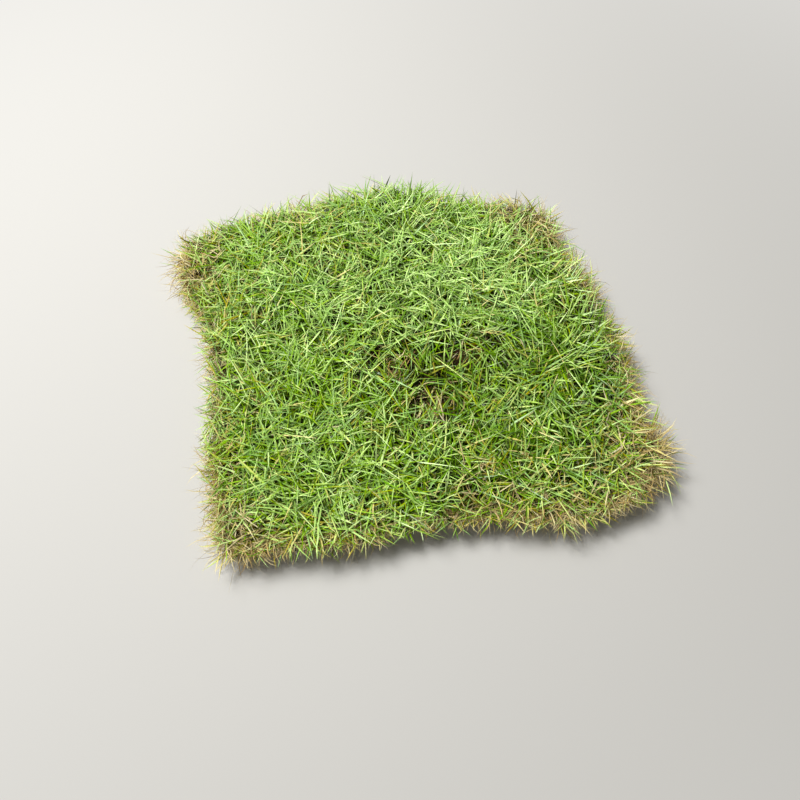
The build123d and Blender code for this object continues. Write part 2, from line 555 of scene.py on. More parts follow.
# %% [markdown]
# ## One function for every strand
#
# Leaves, straw, stems and roots are all strands: long, thin and closed, with a three-cornered section.
# A grass leaf is folded along its midrib, and that section gives its keel, with a lit and a shaded half.
# Thousands of strands are made at once as arrays, which is far quicker than one by one. Every strand's
# UV map puts it in one narrow column: across it by the section, and up it from root to tip. A material
# that reads that map can give each column its own tone, and can tell a leaf's base from its tip.

# %% Walk the middle line of many strands at once
def strand_paths(start, azimuth, tilt, bend, curl, length, stops):
    """Middle lines that leave their starts at a tilt from upright, bend down and curl sideways."""
    points = [start]
    for low, high in zip(stops[:-1], stops[1:]):
        middle = (low + high) / 2
        lean = tilt + bend * middle
        turn = azimuth + curl * middle
        step = np.stack([np.sin(lean) * np.cos(turn), np.sin(lean) * np.sin(turn), np.cos(lean)], axis=1)
        points.append(points[-1] + step * (length * (high - low))[:, None])
    return np.stack(points, axis=1)


# %% Build a mesh of strands
COLUMNS = 64
COLUMN_MARGIN = 0.1


def strands(name, paths, azimuth, width, keel, roll, columns, profile, stops, material, node):
    """One object of closed strands along the paths, each tapering by the profile to a point."""
    count, rings = len(paths), len(profile)
    along = np.gradient(paths, axis=1)
    along /= np.linalg.norm(along, axis=2, keepdims=True)
    level = np.stack([-np.sin(azimuth), np.cos(azimuth), 0 * azimuth], axis=1)[:, None, :]
    across = level - along * (level * along).sum(axis=2, keepdims=True)
    across /= np.linalg.norm(across, axis=2, keepdims=True)
    up = np.cross(along, across)
    turned = roll[:, None, None]
    side_way = across * np.cos(turned) + up * np.sin(turned)
    keel_way = up * np.cos(turned) - across * np.sin(turned)
    reach = (width[:, None] / 2 * np.array(profile))[:, :, None] * side_way[:, :rings]
    rise = (keel[:, None] * np.array(profile))[:, :, None] * keel_way[:, :rings]
    middle = paths[:, :rings]
    rings_points = np.stack([middle - reach, middle + rise, middle + reach], axis=2)
    points = np.concatenate([rings_points.reshape(count, -1, 3), paths[:, -1:]], axis=1)

    tip = 3 * rings
    quads, triangles = [], [(2, 1, 0)]
    for ring in range(rings - 1):
        for corner in range(3):
            low, beside = 3 * ring + corner, 3 * ring + (corner + 1) % 3
            quads.append((low, low + 3, beside + 3, beside))
    for corner in range(3):
        triangles.append((tip - 3 + corner, tip, tip - 3 + (corner + 1) % 3))
    offsets = (np.arange(count) * (tip + 1))[:, None, None]
    quad_loops = (np.array(quads)[None] + offsets).reshape(-1)
    triangle_loops = (np.array(triangles)[None] + offsets).reshape(-1)
    loops = np.concatenate([quad_loops, triangle_loops])
    quad_total, triangle_total = quad_loops.size // 4, triangle_loops.size // 3
    starts = np.concatenate([np.arange(quad_total) * 4,
                             quad_loops.size + np.arange(triangle_total) * 3])

    mesh = bpy.data.meshes.new(name)
    mesh.vertices.add(points.shape[0] * points.shape[1])
    mesh.vertices.foreach_set("co", points.reshape(-1))
    mesh.loops.add(loops.size)
    mesh.loops.foreach_set("vertex_index", loops)
    mesh.polygons.add(starts.size)
    mesh.polygons.foreach_set("loop_start", starts)
    mesh.update(calc_edges=True)

    ring_ends = np.empty(len(mesh.edges) * 2, int)
    mesh.edges.foreach_get("vertices", ring_ends)
    ring_ends = (ring_ends % (tip + 1) // 3).reshape(-1, 2)
    sharp = mesh.attributes.new("sharp_edge", "BOOLEAN", "EDGE")
    sharp.data.foreach_set("value", ring_ends[:, 0] != ring_ends[:, 1])

    section = np.append(np.tile([0, 0.5, 1], rings), 0.5)
    u = (columns[:, None] + COLUMN_MARGIN + (1 - 2 * COLUMN_MARGIN) * section[None]) / COLUMNS
    v = np.repeat(np.append(np.repeat(stops[:rings], 3), stops[-1])[None], count, axis=0)
    places = np.stack([u, v], axis=2).reshape(-1, 2)[loops]
    layer = mesh.uv_layers.new(name="OFBake")
    layer.data.foreach_set("uv", places.astype(np.float32).reshape(-1))

    mesh.materials.append(material)
    piece = new_object(name, mesh)
    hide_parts(node)
    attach(piece, "root")
    print(name + ":", count, "strands,", len(mesh.loops) - 2 * len(mesh.polygons), "triangles")


# %% [markdown]
# ## The tones of a leaf
#
# Turf is never one green. Young leaves are lime, shaded ones a deep blue-green, ageing ones go olive and
# then straw from the tip down. The map's 64 columns are eight families of eight steps, and three colour
# ramps hold the colour of each family at the base, the middle and the tip of a leaf. The base is dark,
# because little light gets down to it. The steps of a family are painted light and shade: they run from
# dark and rich, for a leaf low down in the shade, to light and pale, for a well-lit leaf on top, whose
# paleness is a painted sheen.
# A waxy skin gives each leaf a soft gloss. Its real veins are too fine to show, so only six are drawn.

# %% Set out the families of leaf tones
LEAF_FAMILIES = {
    # family: base, middle and tip
    "deep": ("#151c01", "#5f8620", "#729634"),
    "mid": ("#1c2602", "#8cb440", "#99bc50"),
    "fresh": ("#243104", "#a6cc5c", "#b2d46c"),
    "lime": ("#2b3808", "#c4e180", "#cfe892"),
    "blue": ("#18280a", "#8ab658", "#96be68"),
    "yellow": ("#343908", "#c6d66a", "#d6dc80"),
    "olive": ("#322f08", "#a4a63f", "#b8aa58"),
    "drying": ("#756a2c", "#cec268", "#e8d898"),
}
FAMILIES = len(LEAF_FAMILIES)
FAMILY_STEPS = COLUMNS // FAMILIES


def family_ramp(tree, tone, part):
    """A ramp that gives each family of tones its colour at one part of the leaf."""
    stops = [(i / FAMILIES, tones[part]) for i, tones in enumerate(LEAF_FAMILIES.values())]
    ramp = add_node(tree, "ShaderNodeValToRGB", {"Fac": tone}, stops=stops)
    ramp.color_ramp.interpolation = "CONSTANT"
    return ramp.outputs[0]


# %% Make the leaf material
def column_parts(tree):
    """The column's number as a share, the place across it and the place along the strand."""
    uv = add_node(tree, "ShaderNodeUVMap", uv_map="OFBake").outputs[0]
    split = add_node(tree, "ShaderNodeSeparateXYZ", {0: uv})
    wide = add_node(tree, "ShaderNodeMath", {0: split.outputs[0], 1: float(COLUMNS)}, operation="MULTIPLY")
    number = add_node(tree, "ShaderNodeMath", {0: wide.outputs[0]}, operation="FLOOR")
    share = add_node(tree, "ShaderNodeMath", {0: number.outputs[0], 1: 0.5}, operation="ADD")
    tone = add_node(tree, "ShaderNodeMath", {0: share.outputs[0], 1: float(COLUMNS)}, operation="DIVIDE")
    across = add_node(tree, "ShaderNodeMath", {0: wide.outputs[0]}, operation="FRACT")
    return tone.outputs[0], across.outputs[0], split.outputs[1]


BASE_END = 0.12
BLADE_START = 0.52
TIP_START = 0.72
# Painted light and shade: the darkest and the lightest step of a family, and the saturation of the most
# shaded step and of the most lit one, whose paleness is a painted sheen.
DARKEST = 0.06
LIGHTEST = 1.6
SHADE_RICHEST = 1.9
SHEEN_PALEST = 0.83
VEINS = 6
RIB_DEPTH = 0.05

fresh_leaf, tree = new_material("fresh_grass_leaf")
tone, across, along = column_parts(tree)
to_blade = add_node(tree, "ShaderNodeMapRange", {"Value": along, 1: BASE_END, 2: BLADE_START})
to_tip = add_node(tree, "ShaderNodeMapRange", {"Value": along, 1: TIP_START, 2: 1.0})
lower = add_node(tree, "ShaderNodeMix", {0: to_blade.outputs[0], 6: family_ramp(tree, tone, 0),
                                         7: family_ramp(tree, tone, 1)}, data_type="RGBA")
whole = add_node(tree, "ShaderNodeMix", {0: to_tip.outputs[0], 6: lower.outputs[2],
                                         7: family_ramp(tree, tone, 2)}, data_type="RGBA")
# The step within a family is painted light and shade, and a well-lit step is paled as a painted sheen.
ladder = add_node(tree, "ShaderNodeMath", {0: tone, 1: float(FAMILIES)}, operation="MULTIPLY")
step = add_node(tree, "ShaderNodeMath", {0: ladder.outputs[0]}, operation="FRACT")
lightness = add_node(tree, "ShaderNodeMapRange", {"Value": step.outputs[0], 3: DARKEST, 4: LIGHTEST})
veins = add_node(tree, "ShaderNodeMath", {0: across, 1: VEINS * 2 * pi}, operation="MULTIPLY")
ribs = add_node(tree, "ShaderNodeMath", {0: veins.outputs[0]}, operation="SINE")
ribbed = add_node(tree, "ShaderNodeMath", {0: ribs.outputs[0], 1: RIB_DEPTH, 2: lightness.outputs[0]},
                  operation="MULTIPLY_ADD")
sheen_paling = add_node(tree, "ShaderNodeMapRange", {"Value": step.outputs[0], 3: SHADE_RICHEST, 4: SHEEN_PALEST})
toned = add_node(tree, "ShaderNodeHueSaturation", {"Value": ribbed.outputs[0], "Color": whole.outputs[2],
                                                   "Saturation": sheen_paling.outputs[0]})
shader = add_node(tree, "ShaderNodeBsdfPrincipled", {"Base Color": toned.outputs[0], "Roughness": 0.34,
                                                     "Specular IOR Level": 0.34})
add_node(tree, "ShaderNodeOutputMaterial", {"Surface": shader.outputs[0]})
print("leaf:", len(tree.nodes), "nodes")

# %% [markdown]
# ## A map of the turf
#
# The turf isn't even: it has tussocks, a worn hollow, places where the leaves lie flat, and patches that
# have gone to straw, mostly round the rim where the cut roots dried. Each is a soft round spot with a
# place and a size in millimetres, and says how much drier, darker, taller, flatter or thinner it is.
# Darker is partly the leaves' own deeper green and partly painted shade, in the hollow and the gaps.
# Noise adds small worn pockets, where the leaves part and the thatch shows, and darkens their leaves as
# painted shade.

# %% Describe the patches
PATCHES = [
    # x, y, radius, dry, dark, tall, flat, thin
    (43, 80, 115, -0.1, -1, 0, 0, 0),
    (-120, 70, 60, 0, -0.25, 0, 0.2, 0),
    (22, -45, 85, 0.05, 0.58, -0.1, 0, 0.12),
    (45, -18, 30, 0.1, 0.5, -0.15, 0, 0.25),
    (125, -28, 22, 0, 0.55, -0.3, 0, 0.8),
    (100, -75, 20, 0.05, 0.4, -0.15, 0, 0.3),
    (-16, -25, 25, 0.22, 0.8, -0.45, 0.3, 1.1),
    (70, -24, 19, 0.3, 0.5, -0.45, 0.3, 1.15),
    (14, -73, 22, 0.25, 0.45, -0.4, 0.3, 1.05),
    (192, -58, 42, -0.2, 0.75, 0.3, 0, -0.2),
    (19, 215, 42, -0.25, -0.2, 0.35, 0, 0),
    (-72, 130, 17, 0.8, 0.2, -0.35, 0, 0.9),
    (160, 148, 26, 1, 0.1, -0.2, 0, 0.6),
    (214, 132, 42, 0.95, 0, 0, 0, 0.35),
    (-190, -5, 55, 0.05, -0.25, 0, 0.8, 0),
    (-140, -145, 50, -0.2, -0.2, 0.3, 0.1, -0.1),
    (-250, 135, 42, 1.1, -0.3, 0, 0.3, 0.45),
    (-93, 194, 30, 0.55, 0, 0, 0, 0.1),
    (245, -98, 30, 1, 0, 0, 0, 0.4),
    (246, -165, 46, 1.2, -0.2, 0, 0.2, 0.55),
    (205, -218, 34, 0.9, 0, 0, 0.2, 0.3),
    (-213, -207, 50, 1.2, -0.2, 0, 0.2, 0.6),
    (-236, -117, 38, 0.95, 0, 0, 0.2, 0.4),
    (60, -228, 60, 0.7, 0, 0, 0, 0.2),
    (130, -236, 34, 0.8, 0, 0, 0, 0.25),
    (-238, -207, 30, 0.3, -0.2, 0.85, 0, 0),
    (-79, -229, 22, 0.1, -0.2, 1, 0, -0.3),
    (130, -238, 28, 0.1, -0.2, 0.75, 0, -0.2),
    (225, 132, 24, 0.2, 0, 0.65, 0, 0),
    (-262, 172, 34, 0.3, -0.2, 0.65, 0, 0),
    (268, -166, 32, 0.2, 0, 0.85, 0, 0),
    (-240, -121, 20, 0.2, 0, 0.45, 0, 0),
    (242, 50, 32, 0.65, 0, 0.5, 0, 0.2),
    (-247, 2, 26, 0.1, 0, 0.5, 0, 0),
    (252, -62, 32, 1, -0.1, 0, 0, 0.35),
    (256, -16, 28, 0.8, 0, 0, 0, 0.3),
    (-96, -228, 42, 0.85, 0, 0, 0, 0.3),
    (-140, 158, 32, -0.1, -0.9, 0.1, 0, -0.1),
    (145, 50, 48, 0.05, -0.65, 0, 0, 0),
    (62, 4, 26, 0, -0.35, 0, 0, 0),
    (-195, -140, 45, 0, -0.45, 0, 0, 0),
    (-75, -170, 45, 0, -0.4, 0, 0, 0),
]
LEAST_DRY = 0.02
DRY_DRIFT = 0.30
DARK_DRIFT = 0.55
DRIFT_SIZE = 38 * MM
DRIFT_OCTAVES = 2
POCKET_SIZE = 15 * MM
POCKET_START = 0.17
# Pockets also darken their leaves: painted shade in the gap.
POCKET_CHANGE = (0.5, 2.2, -0.9, 0.0, 3.0)  # dry, dark, tall, flat, thin


def drift(x, y, size, layer):
    """A slow random change over the slab, from about -1 to 1."""
    return np.array([cloud((px, py, layer), size, DRIFT_OCTAVES) for px, py in zip(x, y)])


def turf_map(x, y):
    """How dry, dark, tall, flat and thin the turf is at each place."""
    fields = np.zeros((5, len(x)))
    for centre_x, centre_y, radius, *amounts in PATCHES:
        squared = (x - centre_x * MM) ** 2 + (y - centre_y * MM) ** 2
        weight = np.exp(-squared / (radius * MM) ** 2)
        fields += np.array(amounts)[:, None] * weight
    fields[0] += LEAST_DRY + DRY_DRIFT * np.clip(drift(x, y, DRIFT_SIZE, 1), 0, 1)
    fields[1] += DARK_DRIFT * drift(x, y, DRIFT_SIZE, 2)
    pockets = np.clip(drift(x, y, POCKET_SIZE, 3) - POCKET_START, 0, 1)
    fields += np.array(POCKET_CHANGE)[:, None] * pockets
    return fields


print("patches:", len(PATCHES))

# %% Draw a column of tones for each leaf
# How far a dark place lowers a leaf's step: painted shade.
DARK_STEP = 0.26
STEP_SPREAD = 0.2
JUST_BELOW_ONE = 0.999


def pick_columns(dry, dark, light):
    """Draws each leaf's column of tones, by how dry and dark its place is, and a step of painted light and
    shade by how well it is lit.
    """
    bright = np.clip(-dark, -1, 1)
    shade = np.clip(dark, 0, 1)
    straw = np.clip(dry, 0, 1)
    # Dark places draw more deep and blue leaves: partly their own tone, partly painted shade.
    shares = {
        "deep": 0.10 + 0.45 * shade,
        "mid": 0.22 + 0 * dry,
        "fresh": 0.26 + 0.10 * bright,
        "lime": np.clip(0.20 + 0.22 * bright, 0.02, 1),
        "blue": 0.14 + 0.10 * shade,
        "yellow": 0.05 + 0.25 * straw,
        "olive": 0.02 + 0.20 * straw,
        "drying": 0.02 + 0.40 * straw,
    }
    parts = np.stack([shares[name] for name in LEAF_FAMILIES])
    edges = np.cumsum(parts / parts.sum(axis=0), axis=0)
    family = (rng.random(len(dry))[None] > edges).sum(axis=0).clip(0, FAMILIES - 1)
    # The step is painted light: lower for a leaf that is less lit, and lower again, as painted shade, where
    # its place is dark.
    step = np.clip(rng.normal(light - DARK_STEP * dark, STEP_SPREAD, len(dry)), 0, JUST_BELOW_ONE)
    return family * FAMILY_STEPS + (step * FAMILY_STEPS).astype(int)


# %% [markdown]
# ## Growing the grass
#
# Turf grass grows as shoots: a short upright stem, with narrow leaves that leave it to one side and then
# the other. The lowest leaves lie nearly level, and the topmost one stands up. Growing shoots instead of
# single leaves gives the small stars and crossings that the eye knows from a lawn. The height of each
# shoot follows the CAD's grass solid, so that the leaves fill it. A tip that would stand more than 8 mm
# above the solid is pressed down, and a strand that would reach too far beyond its sides is shortened.

# %% Set out the shoots
SHOOT_SPACING = 5.25 * MM
USUAL_GRASS = 24 * MM
RIM_BAND = 15 * MM
RIM_SET_IN = 1.5 * MM
RIM_PACE = 5 * MM
EDGE_MARGIN = 2 * MM

shoot_x, shoot_y = scattered(SHOOT_SPACING, EDGE_MARGIN)
thin = turf_map(shoot_x, shoot_y)[4]
kept = rng.random(shoot_x.size) > thin
shoot_x, shoot_y = shoot_x[kept], shoot_y[kept]

column = (np.arange(0, perimeter, RIM_PACE) / perimeter * column_total).astype(int)
rim_x, rim_y = in_from_edge(column, RIM_SET_IN + rng.uniform(-1, 1, column.size) * MM)
shoot_x = np.concatenate([shoot_x, rim_x])
shoot_y = np.concatenate([shoot_y, rim_y])
shoot_total = shoot_x.size
print("shoots:", shoot_total)

# %% Give every shoot its height and lean
SET_BACK = 4 * MM
DEEPEST_STEP = 3 * MM
LEAN_SIZE = 60 * MM
LEAN_TURN = 1.6
LEAST_LEAN = radians(12)
LEAN_RANGE = radians(26)
LEAN_SPREAD = radians(9)
FLAT_LEAN = radians(22)
RIM_LEAN = radians(15)
RIM_HOLD = 0.3

dry, dark, tall, flat, _ = turf_map(shoot_x, shoot_y)
inset, way_out = edge_of(shoot_x, shoot_y)
rim_share = np.clip(1 - inset / RIM_BAND, 0, 1)
ground = height_at(soil_heights, shoot_x, shoot_y)
inside_x = shoot_x - way_out[:, 0] * SET_BACK
inside_y = shoot_y - way_out[:, 1] * SET_BACK
ground = np.maximum(ground, height_at(soil_heights, inside_x, inside_y) - DEEPEST_STEP)
canopy = height_at(sward_heights, inside_x, inside_y) - ground
vigour = canopy / USUAL_GRASS * (1 + tall)

lean_angle = pi * (1 + LEAN_TURN * drift(shoot_x, shoot_y, LEAN_SIZE, 5))
lean_drift = np.abs(drift(shoot_x, shoot_y, LEAN_SIZE, 6))
lean_amount = LEAST_LEAN + LEAN_RANGE * lean_drift + FLAT_LEAN * flat
lean_x = lean_amount * np.cos(lean_angle) + rng.normal(0, LEAN_SPREAD, shoot_total)
lean_y = lean_amount * np.sin(lean_angle) + rng.normal(0, LEAN_SPREAD, shoot_total)
lean_x = lean_x * (1 - RIM_HOLD * rim_share) + RIM_LEAN * rim_share * way_out[:, 0]
lean_y = lean_y * (1 - RIM_HOLD * rim_share) + RIM_LEAN * rim_share * way_out[:, 1]
shoot_azimuth = np.arctan2(lean_y, lean_x)
shoot_tilt = np.hypot(lean_x, lean_y)
print("shoots lean by", round(np.degrees(shoot_tilt.mean()), 1), "degrees on average")

# %% Grow the stems
STEM_STOPS = (0, 0.5, 1)
STEM_PROFILE = (1, 0.8)
STEM_SUNK = 1.5 * MM
STEM_DRYNESS = 0.15
# Stems stand low among the leaves, so their step is painted deep shade.
STEM_LIGHT = 0.1

stem_height = rng.uniform(7, 15, shoot_total) * MM * vigour * (1 - 0.4 * rim_share)
stem_start = np.stack([shoot_x, shoot_y, ground - STEM_SUNK], axis=1)
stem_paths = strand_paths(stem_start, shoot_azimuth, shoot_tilt * 0.5, shoot_tilt * 0.8,
                          np.zeros(shoot_total), stem_height + STEM_SUNK, STEM_STOPS)
stem_columns = pick_columns(dry + STEM_DRYNESS, dark, STEM_LIGHT)
strands("shoot_stems", stem_paths, shoot_azimuth, rng.uniform(1.1, 1.6, shoot_total) * MM,
        rng.uniform(0.9, 1.2, shoot_total) * MM, rng.uniform(0, 2 * pi, shoot_total), stem_columns,
        STEM_PROFILE, STEM_STOPS, fresh_leaf, "grass_sward")

# %% Describe the leaves of a shoot
LEAVES = [
    # place up the stem, tilt, bend, length and lightness (painted shade low, painted light on top), from the
    # lowest leaf to the topmost
    (0.35, 74, 6, 24, 0.0),
    (0.62, 67, 10, 33, 0.19),
    (0.85, 61, 13, 47, 0.70),
    (1.00, 50, 20, 49, 0.94),
]
LEAF_STOPS = (0, 0.3, 0.7, 1)
LEAF_PROFILE = (0.62, 1, 0.78)

# %% Keep the strands within the solid's space
PROUD = 8 * MM
FLOOR_CLEARANCE = 1.2 * MM
SOIL_CLEARANCE = 0.8 * MM
OVER_SOIL = 15 * MM
BOX_SPARE = 11 * MM
NO_LENGTH = 0.001 * MM


def settle(paths):
    """Keeps strands out of the soil and off the floor, and presses down those that stand too proud."""
    roots = paths[:, :1, 2]
    crowns = height_at(sward_heights, paths[:, :1, 0], paths[:, :1, 1])
    limit = np.maximum(crowns, roots) + PROUD
    tops = paths[:, :, 2].max(axis=1, keepdims=True)
    share = np.minimum(1, (limit - roots) / np.maximum(tops - roots, MM))
    settled = paths.copy()
    settled[:, :, 2] = roots + (paths[:, :, 2] - roots) * share
    below = height_at(soil_heights, paths[:, :, 0], paths[:, :, 1])
    lowest = np.where(below > OVER_SOIL, below + SOIL_CLEARANCE, FLOOR_CLEARANCE)
    settled[:, 1:, 2] = np.maximum(settled[:, 1:, 2], lowest[:, 1:])
    return settled


def draw_in(paths, reach):
    """Shortens strands that reach further beyond the cut edge, or the CAD's box, than they may."""
    roots = paths[:, :1]
    inset, _ = edge_of(paths[:, -1, 0], paths[:, -1, 1])
    share = np.minimum(1, reach / np.maximum(-inset, MM))[:, None, None]
    span = (paths - roots) * share
    level_roots, level_span = roots[:, :, :2], span[:, :, :2]
    low, high = np.array(cad_box)[:, :2]
    room = np.where(level_span > 0, high + BOX_SPARE - level_roots, level_roots - low + BOX_SPARE)
    fit = (room / np.maximum(np.abs(level_span), NO_LENGTH)).min(axis=(1, 2), keepdims=True)
    return roots + span * np.minimum(1, fit)


# %% Grow the leaves
FLAT_TILT = radians(14)
SHOOT_SWAY = 0.8
RIM_SWAY = 0.12
LEAST_RISE = 0.05
RIM_TRIM = 0.12
RIM_BEND = 0.8
FRONT_REACH = 0.35
SIDE_REACH = 0.3
# Round the rim the lower leaves are less shaded, so their painted light is raised and evened out.
RIM_LIGHT = 0.55
RIM_EVENNESS = 0.6
RIM_DRYNESS = 0.2
RIM_SLIMNESS = 0.22
STEM_TOP = 1.999  # just short of the end of the stem's second half

batches = []
two_ranks = lean_angle + rng.normal(0, 1.0, shoot_total)
for number, (place_up, tilt, bend, length, light) in enumerate(LEAVES):
    segment = np.minimum(place_up * 2, STEM_TOP)
    low = int(segment)
    start = stem_paths[:, low] + (stem_paths[:, low + 1] - stem_paths[:, low]) * (segment - low)
    heading = two_ranks + pi * number + rng.normal(0, 0.6, shoot_total)
    own_tilt = radians(tilt) + rng.normal(0, radians(11), shoot_total) + FLAT_TILT * flat
    sway = np.sin(shoot_tilt)
    lean_out_x = np.sin(own_tilt) * np.cos(heading) + sway * np.cos(shoot_azimuth) * SHOOT_SWAY
    lean_out_y = np.sin(own_tilt) * np.sin(heading) + sway * np.sin(shoot_azimuth) * SHOOT_SWAY
    lean_out_x += RIM_SWAY * rim_share * way_out[:, 0]
    lean_out_y += RIM_SWAY * rim_share * way_out[:, 1]
    azimuth = np.arctan2(lean_out_y, lean_out_x)
    leaf_tilt = np.arctan2(np.hypot(lean_out_x, lean_out_y), np.cos(own_tilt) + LEAST_RISE)
    leaf_length = length * MM * (0.5 + 0.5 * vigour) * np.exp(rng.normal(0, 0.26, shoot_total))
    leaf_length *= 1 - RIM_TRIM * rim_share
    leaf_bend = radians(bend) * rng.uniform(-0.3, 1.6, shoot_total) * (1 + RIM_BEND * rim_share)
    curl = rng.normal(0, radians(7), shoot_total)
    paths = strand_paths(start, azimuth, leaf_tilt, leaf_bend, curl, leaf_length, LEAF_STOPS)
    reach_gain = 1 + np.clip(tall, 0, 1) + FRONT_REACH * np.clip(-way_out[:, 1], 0, 1)
    reach_gain += SIDE_REACH * np.abs(way_out[:, 0])
    paths = draw_in(paths, rng.uniform(3, 19, shoot_total) * MM * reach_gain)
    # Each leaf's painted light, raised round the rim.
    lit = light + rim_share * (RIM_LIGHT - RIM_EVENNESS * light)
    batches.append((settle(paths), azimuth, pick_columns(dry + RIM_DRYNESS * rim_share, dark, lit)))

leaf_paths, leaf_azimuth, leaf_columns = (np.concatenate(parts) for parts in zip(*batches))
leaf_total = len(leaf_paths)
leaf_width = rng.normal(1.50, 0.42, leaf_total).clip(0.75, 2.8) * MM
leaf_width *= 1 - RIM_SLIMNESS * np.tile(rim_share, len(LEAVES))
leaf_keel = leaf_width * rng.uniform(0.2, 0.38, leaf_total)
leaf_roll = rng.normal(0, radians(18), leaf_total) + pi * (rng.random(leaf_total) < 0.5)
quarter = (leaf_paths[:, 0, 1] > 0) * 2 + (leaf_paths[:, 0, 0] > 0)
for number, corner in enumerate(("near_left", "near_right", "far_left", "far_right")):
    chosen = quarter == number
    strands("leaves_" + corner, leaf_paths[chosen], leaf_azimuth[chosen], leaf_width[chosen],
            leaf_keel[chosen], leaf_roll[chosen], leaf_columns[chosen], LEAF_PROFILE, LEAF_STOPS,
            fresh_leaf, "grass_sward")

# %% [markdown]
# ## Straw
#
# Dead leaves bleach to a pale straw. They stay among the green ones, lie flatter, and hang down over the
# cut edge, where they hide much of the soil. The same strands serve, with a straw material, and more of
# them grow where the map says that the turf is dry. Round the rim they are thinner, and the finest and
# curliest hang over the edge. Dry straw has lost its wax, so it is duller than a green leaf, and a mottle
# breaks up its tone. As on the leaves, the lower part of a strand is darker: painted shade, as little
# light gets down to it.

# %% Make the straw material
STRAW_TONES = [(0.0, "#fff2bc"), (0.2, "#f6e6a8"), (0.4, "#e8d284"), (0.52, "#dabc74"), (0.6, "#b08c4e"),
               (0.7, "#f8e8b0"), (0.9, "#c8a662"), (1.0, "#fff6cc")]
MOTTLE_STRETCH = (90.0, 5.0, 1.5)  # from column to column, along a strand, and across it
MOTTLE_LOW = 0.3
MOTTLE_HIGH = 0.7
MOTTLE_DARK = 0.78
MOTTLE_LIGHT = 1.2
# Where up a strand the painted shade of its base fades out.
SHADE_FADE_START = 0.05
SHADE_FADE_END = 0.5


def plain_strand_material(name, tones, roughness, painted_base_shade=1.0):
    """A strand material with tones that run on from column to column, a mottle and a painted shade that
    darkens its base.
    """
    material, tree = new_material(name)
    tone, across, along = column_parts(tree)
    ramp = add_node(tree, "ShaderNodeValToRGB", {"Fac": tone}, stops=tones)
    spot = add_node(tree, "ShaderNodeCombineXYZ", {0: tone, 1: along, 2: across})
    spread = add_node(tree, "ShaderNodeVectorMath", {0: spot.outputs[0], 1: MOTTLE_STRETCH},
                      operation="MULTIPLY")
    mottle = add_node(tree, "ShaderNodeTexNoise", {"Vector": spread.outputs[0], "Scale": 1.0, "Detail": 3.0})
    spots = add_node(tree, "ShaderNodeMapRange", {"Value": mottle.outputs["Fac"], 1: MOTTLE_LOW,
                                                  2: MOTTLE_HIGH, 3: MOTTLE_DARK, 4: MOTTLE_LIGHT})
    # The lower part of a strand is darkened as painted shade, fading out up the strand.
    rise = add_node(tree, "ShaderNodeMapRange", {"Value": along, 1: SHADE_FADE_START, 2: SHADE_FADE_END, 3: painted_base_shade,
                                                 4: 1.0})
    value = add_node(tree, "ShaderNodeMath", {0: spots.outputs[0], 1: rise.outputs[0]},
                     operation="MULTIPLY")
    toned = add_node(tree, "ShaderNodeHueSaturation", {"Value": value.outputs[0],
                                                       "Color": ramp.outputs[0]})
    shader = add_node(tree, "ShaderNodeBsdfPrincipled", {"Base Color": toned.outputs[0],
                                                         "Roughness": roughness, "Specular IOR Level": 0.3})
    add_node(tree, "ShaderNodeOutputMaterial", {"Surface": shader.outputs[0]})
    return material


dry_straw = plain_strand_material("dry_bleached_straw", STRAW_TONES, 0.6, painted_base_shade=0.55)
print("straw:", len(dry_straw.node_tree.nodes), "nodes")

# %% Draw the width, keel, roll and tone of loose strands
def loose_strands(name, paths, azimuth, widths, keels, profile, stops, material, node, slim=1,
                  kept=slice(None)):
    """Strands of any roll and tone, with widths and keels drawn between two values in millimetres."""
    total = len(paths)
    width = rng.uniform(*widths, total) * MM * slim
    keel = rng.uniform(*keels, total) * MM
    roll = rng.uniform(0, 2 * pi, total)
    columns = rng.integers(0, COLUMNS, total)
    strands(name, paths[kept], azimuth[kept], width[kept], keel[kept], roll[kept], columns[kept],
            profile, stops, material, node)


# %% Lay the straw among the leaves
STRAW_SPACING = 4.2 * MM
LEAST_STRAW = 0.02
DRY_STRAW = 0.8
RIM_STRAW = 0.42
STRAW_SLIMNESS = 0.35
DRY_REACH = 0.3
OUTWARD_FROM = 0.3

straw_x, straw_y = scattered(STRAW_SPACING, EDGE_MARGIN)
dry = turf_map(straw_x, straw_y)[0]
inset, way_out = edge_of(straw_x, straw_y)
rim_share = np.clip(1 - inset / RIM_BAND, 0, 1)
kept = rng.random(straw_x.size) < LEAST_STRAW + DRY_STRAW * dry + RIM_STRAW * rim_share
straw_x, straw_y, dry = straw_x[kept], straw_y[kept], dry[kept]
rim_share, way_out = rim_share[kept], way_out[kept]
straw_total = straw_x.size
ground = height_at(soil_heights, straw_x, straw_y)
lift = rng.uniform(2, 25, straw_total) * MM * np.clip(0.45 + 0.9 * dry, 0.3, 1)
start = np.stack([straw_x, straw_y, ground + lift], axis=1)
out_angle = np.arctan2(way_out[:, 1], way_out[:, 0])
azimuth = np.where(rim_share > OUTWARD_FROM, out_angle + rng.normal(0, 1.0, straw_total),
                   rng.uniform(0, 2 * pi, straw_total))
tilt = radians(66) + rng.normal(0, radians(14), straw_total) + radians(8) * rim_share
bend = rng.uniform(radians(-5), radians(45), straw_total)
length = rng.uniform(16, 38, straw_total) * MM
curl = rng.normal(0, radians(60), straw_total)
paths = strand_paths(start, azimuth, tilt, bend, curl, length, LEAF_STOPS)
paths = draw_in(paths, rng.uniform(12, 31, straw_total) * MM * (1 + DRY_REACH * np.clip(dry, 0, 1)))
loose_strands("straw_leaves", settle(paths), azimuth, (0.8, 1.9), (0.15, 0.35), LEAF_PROFILE, LEAF_STOPS,
              dry_straw, "grass_sward", slim=1 - STRAW_SLIMNESS * rim_share)

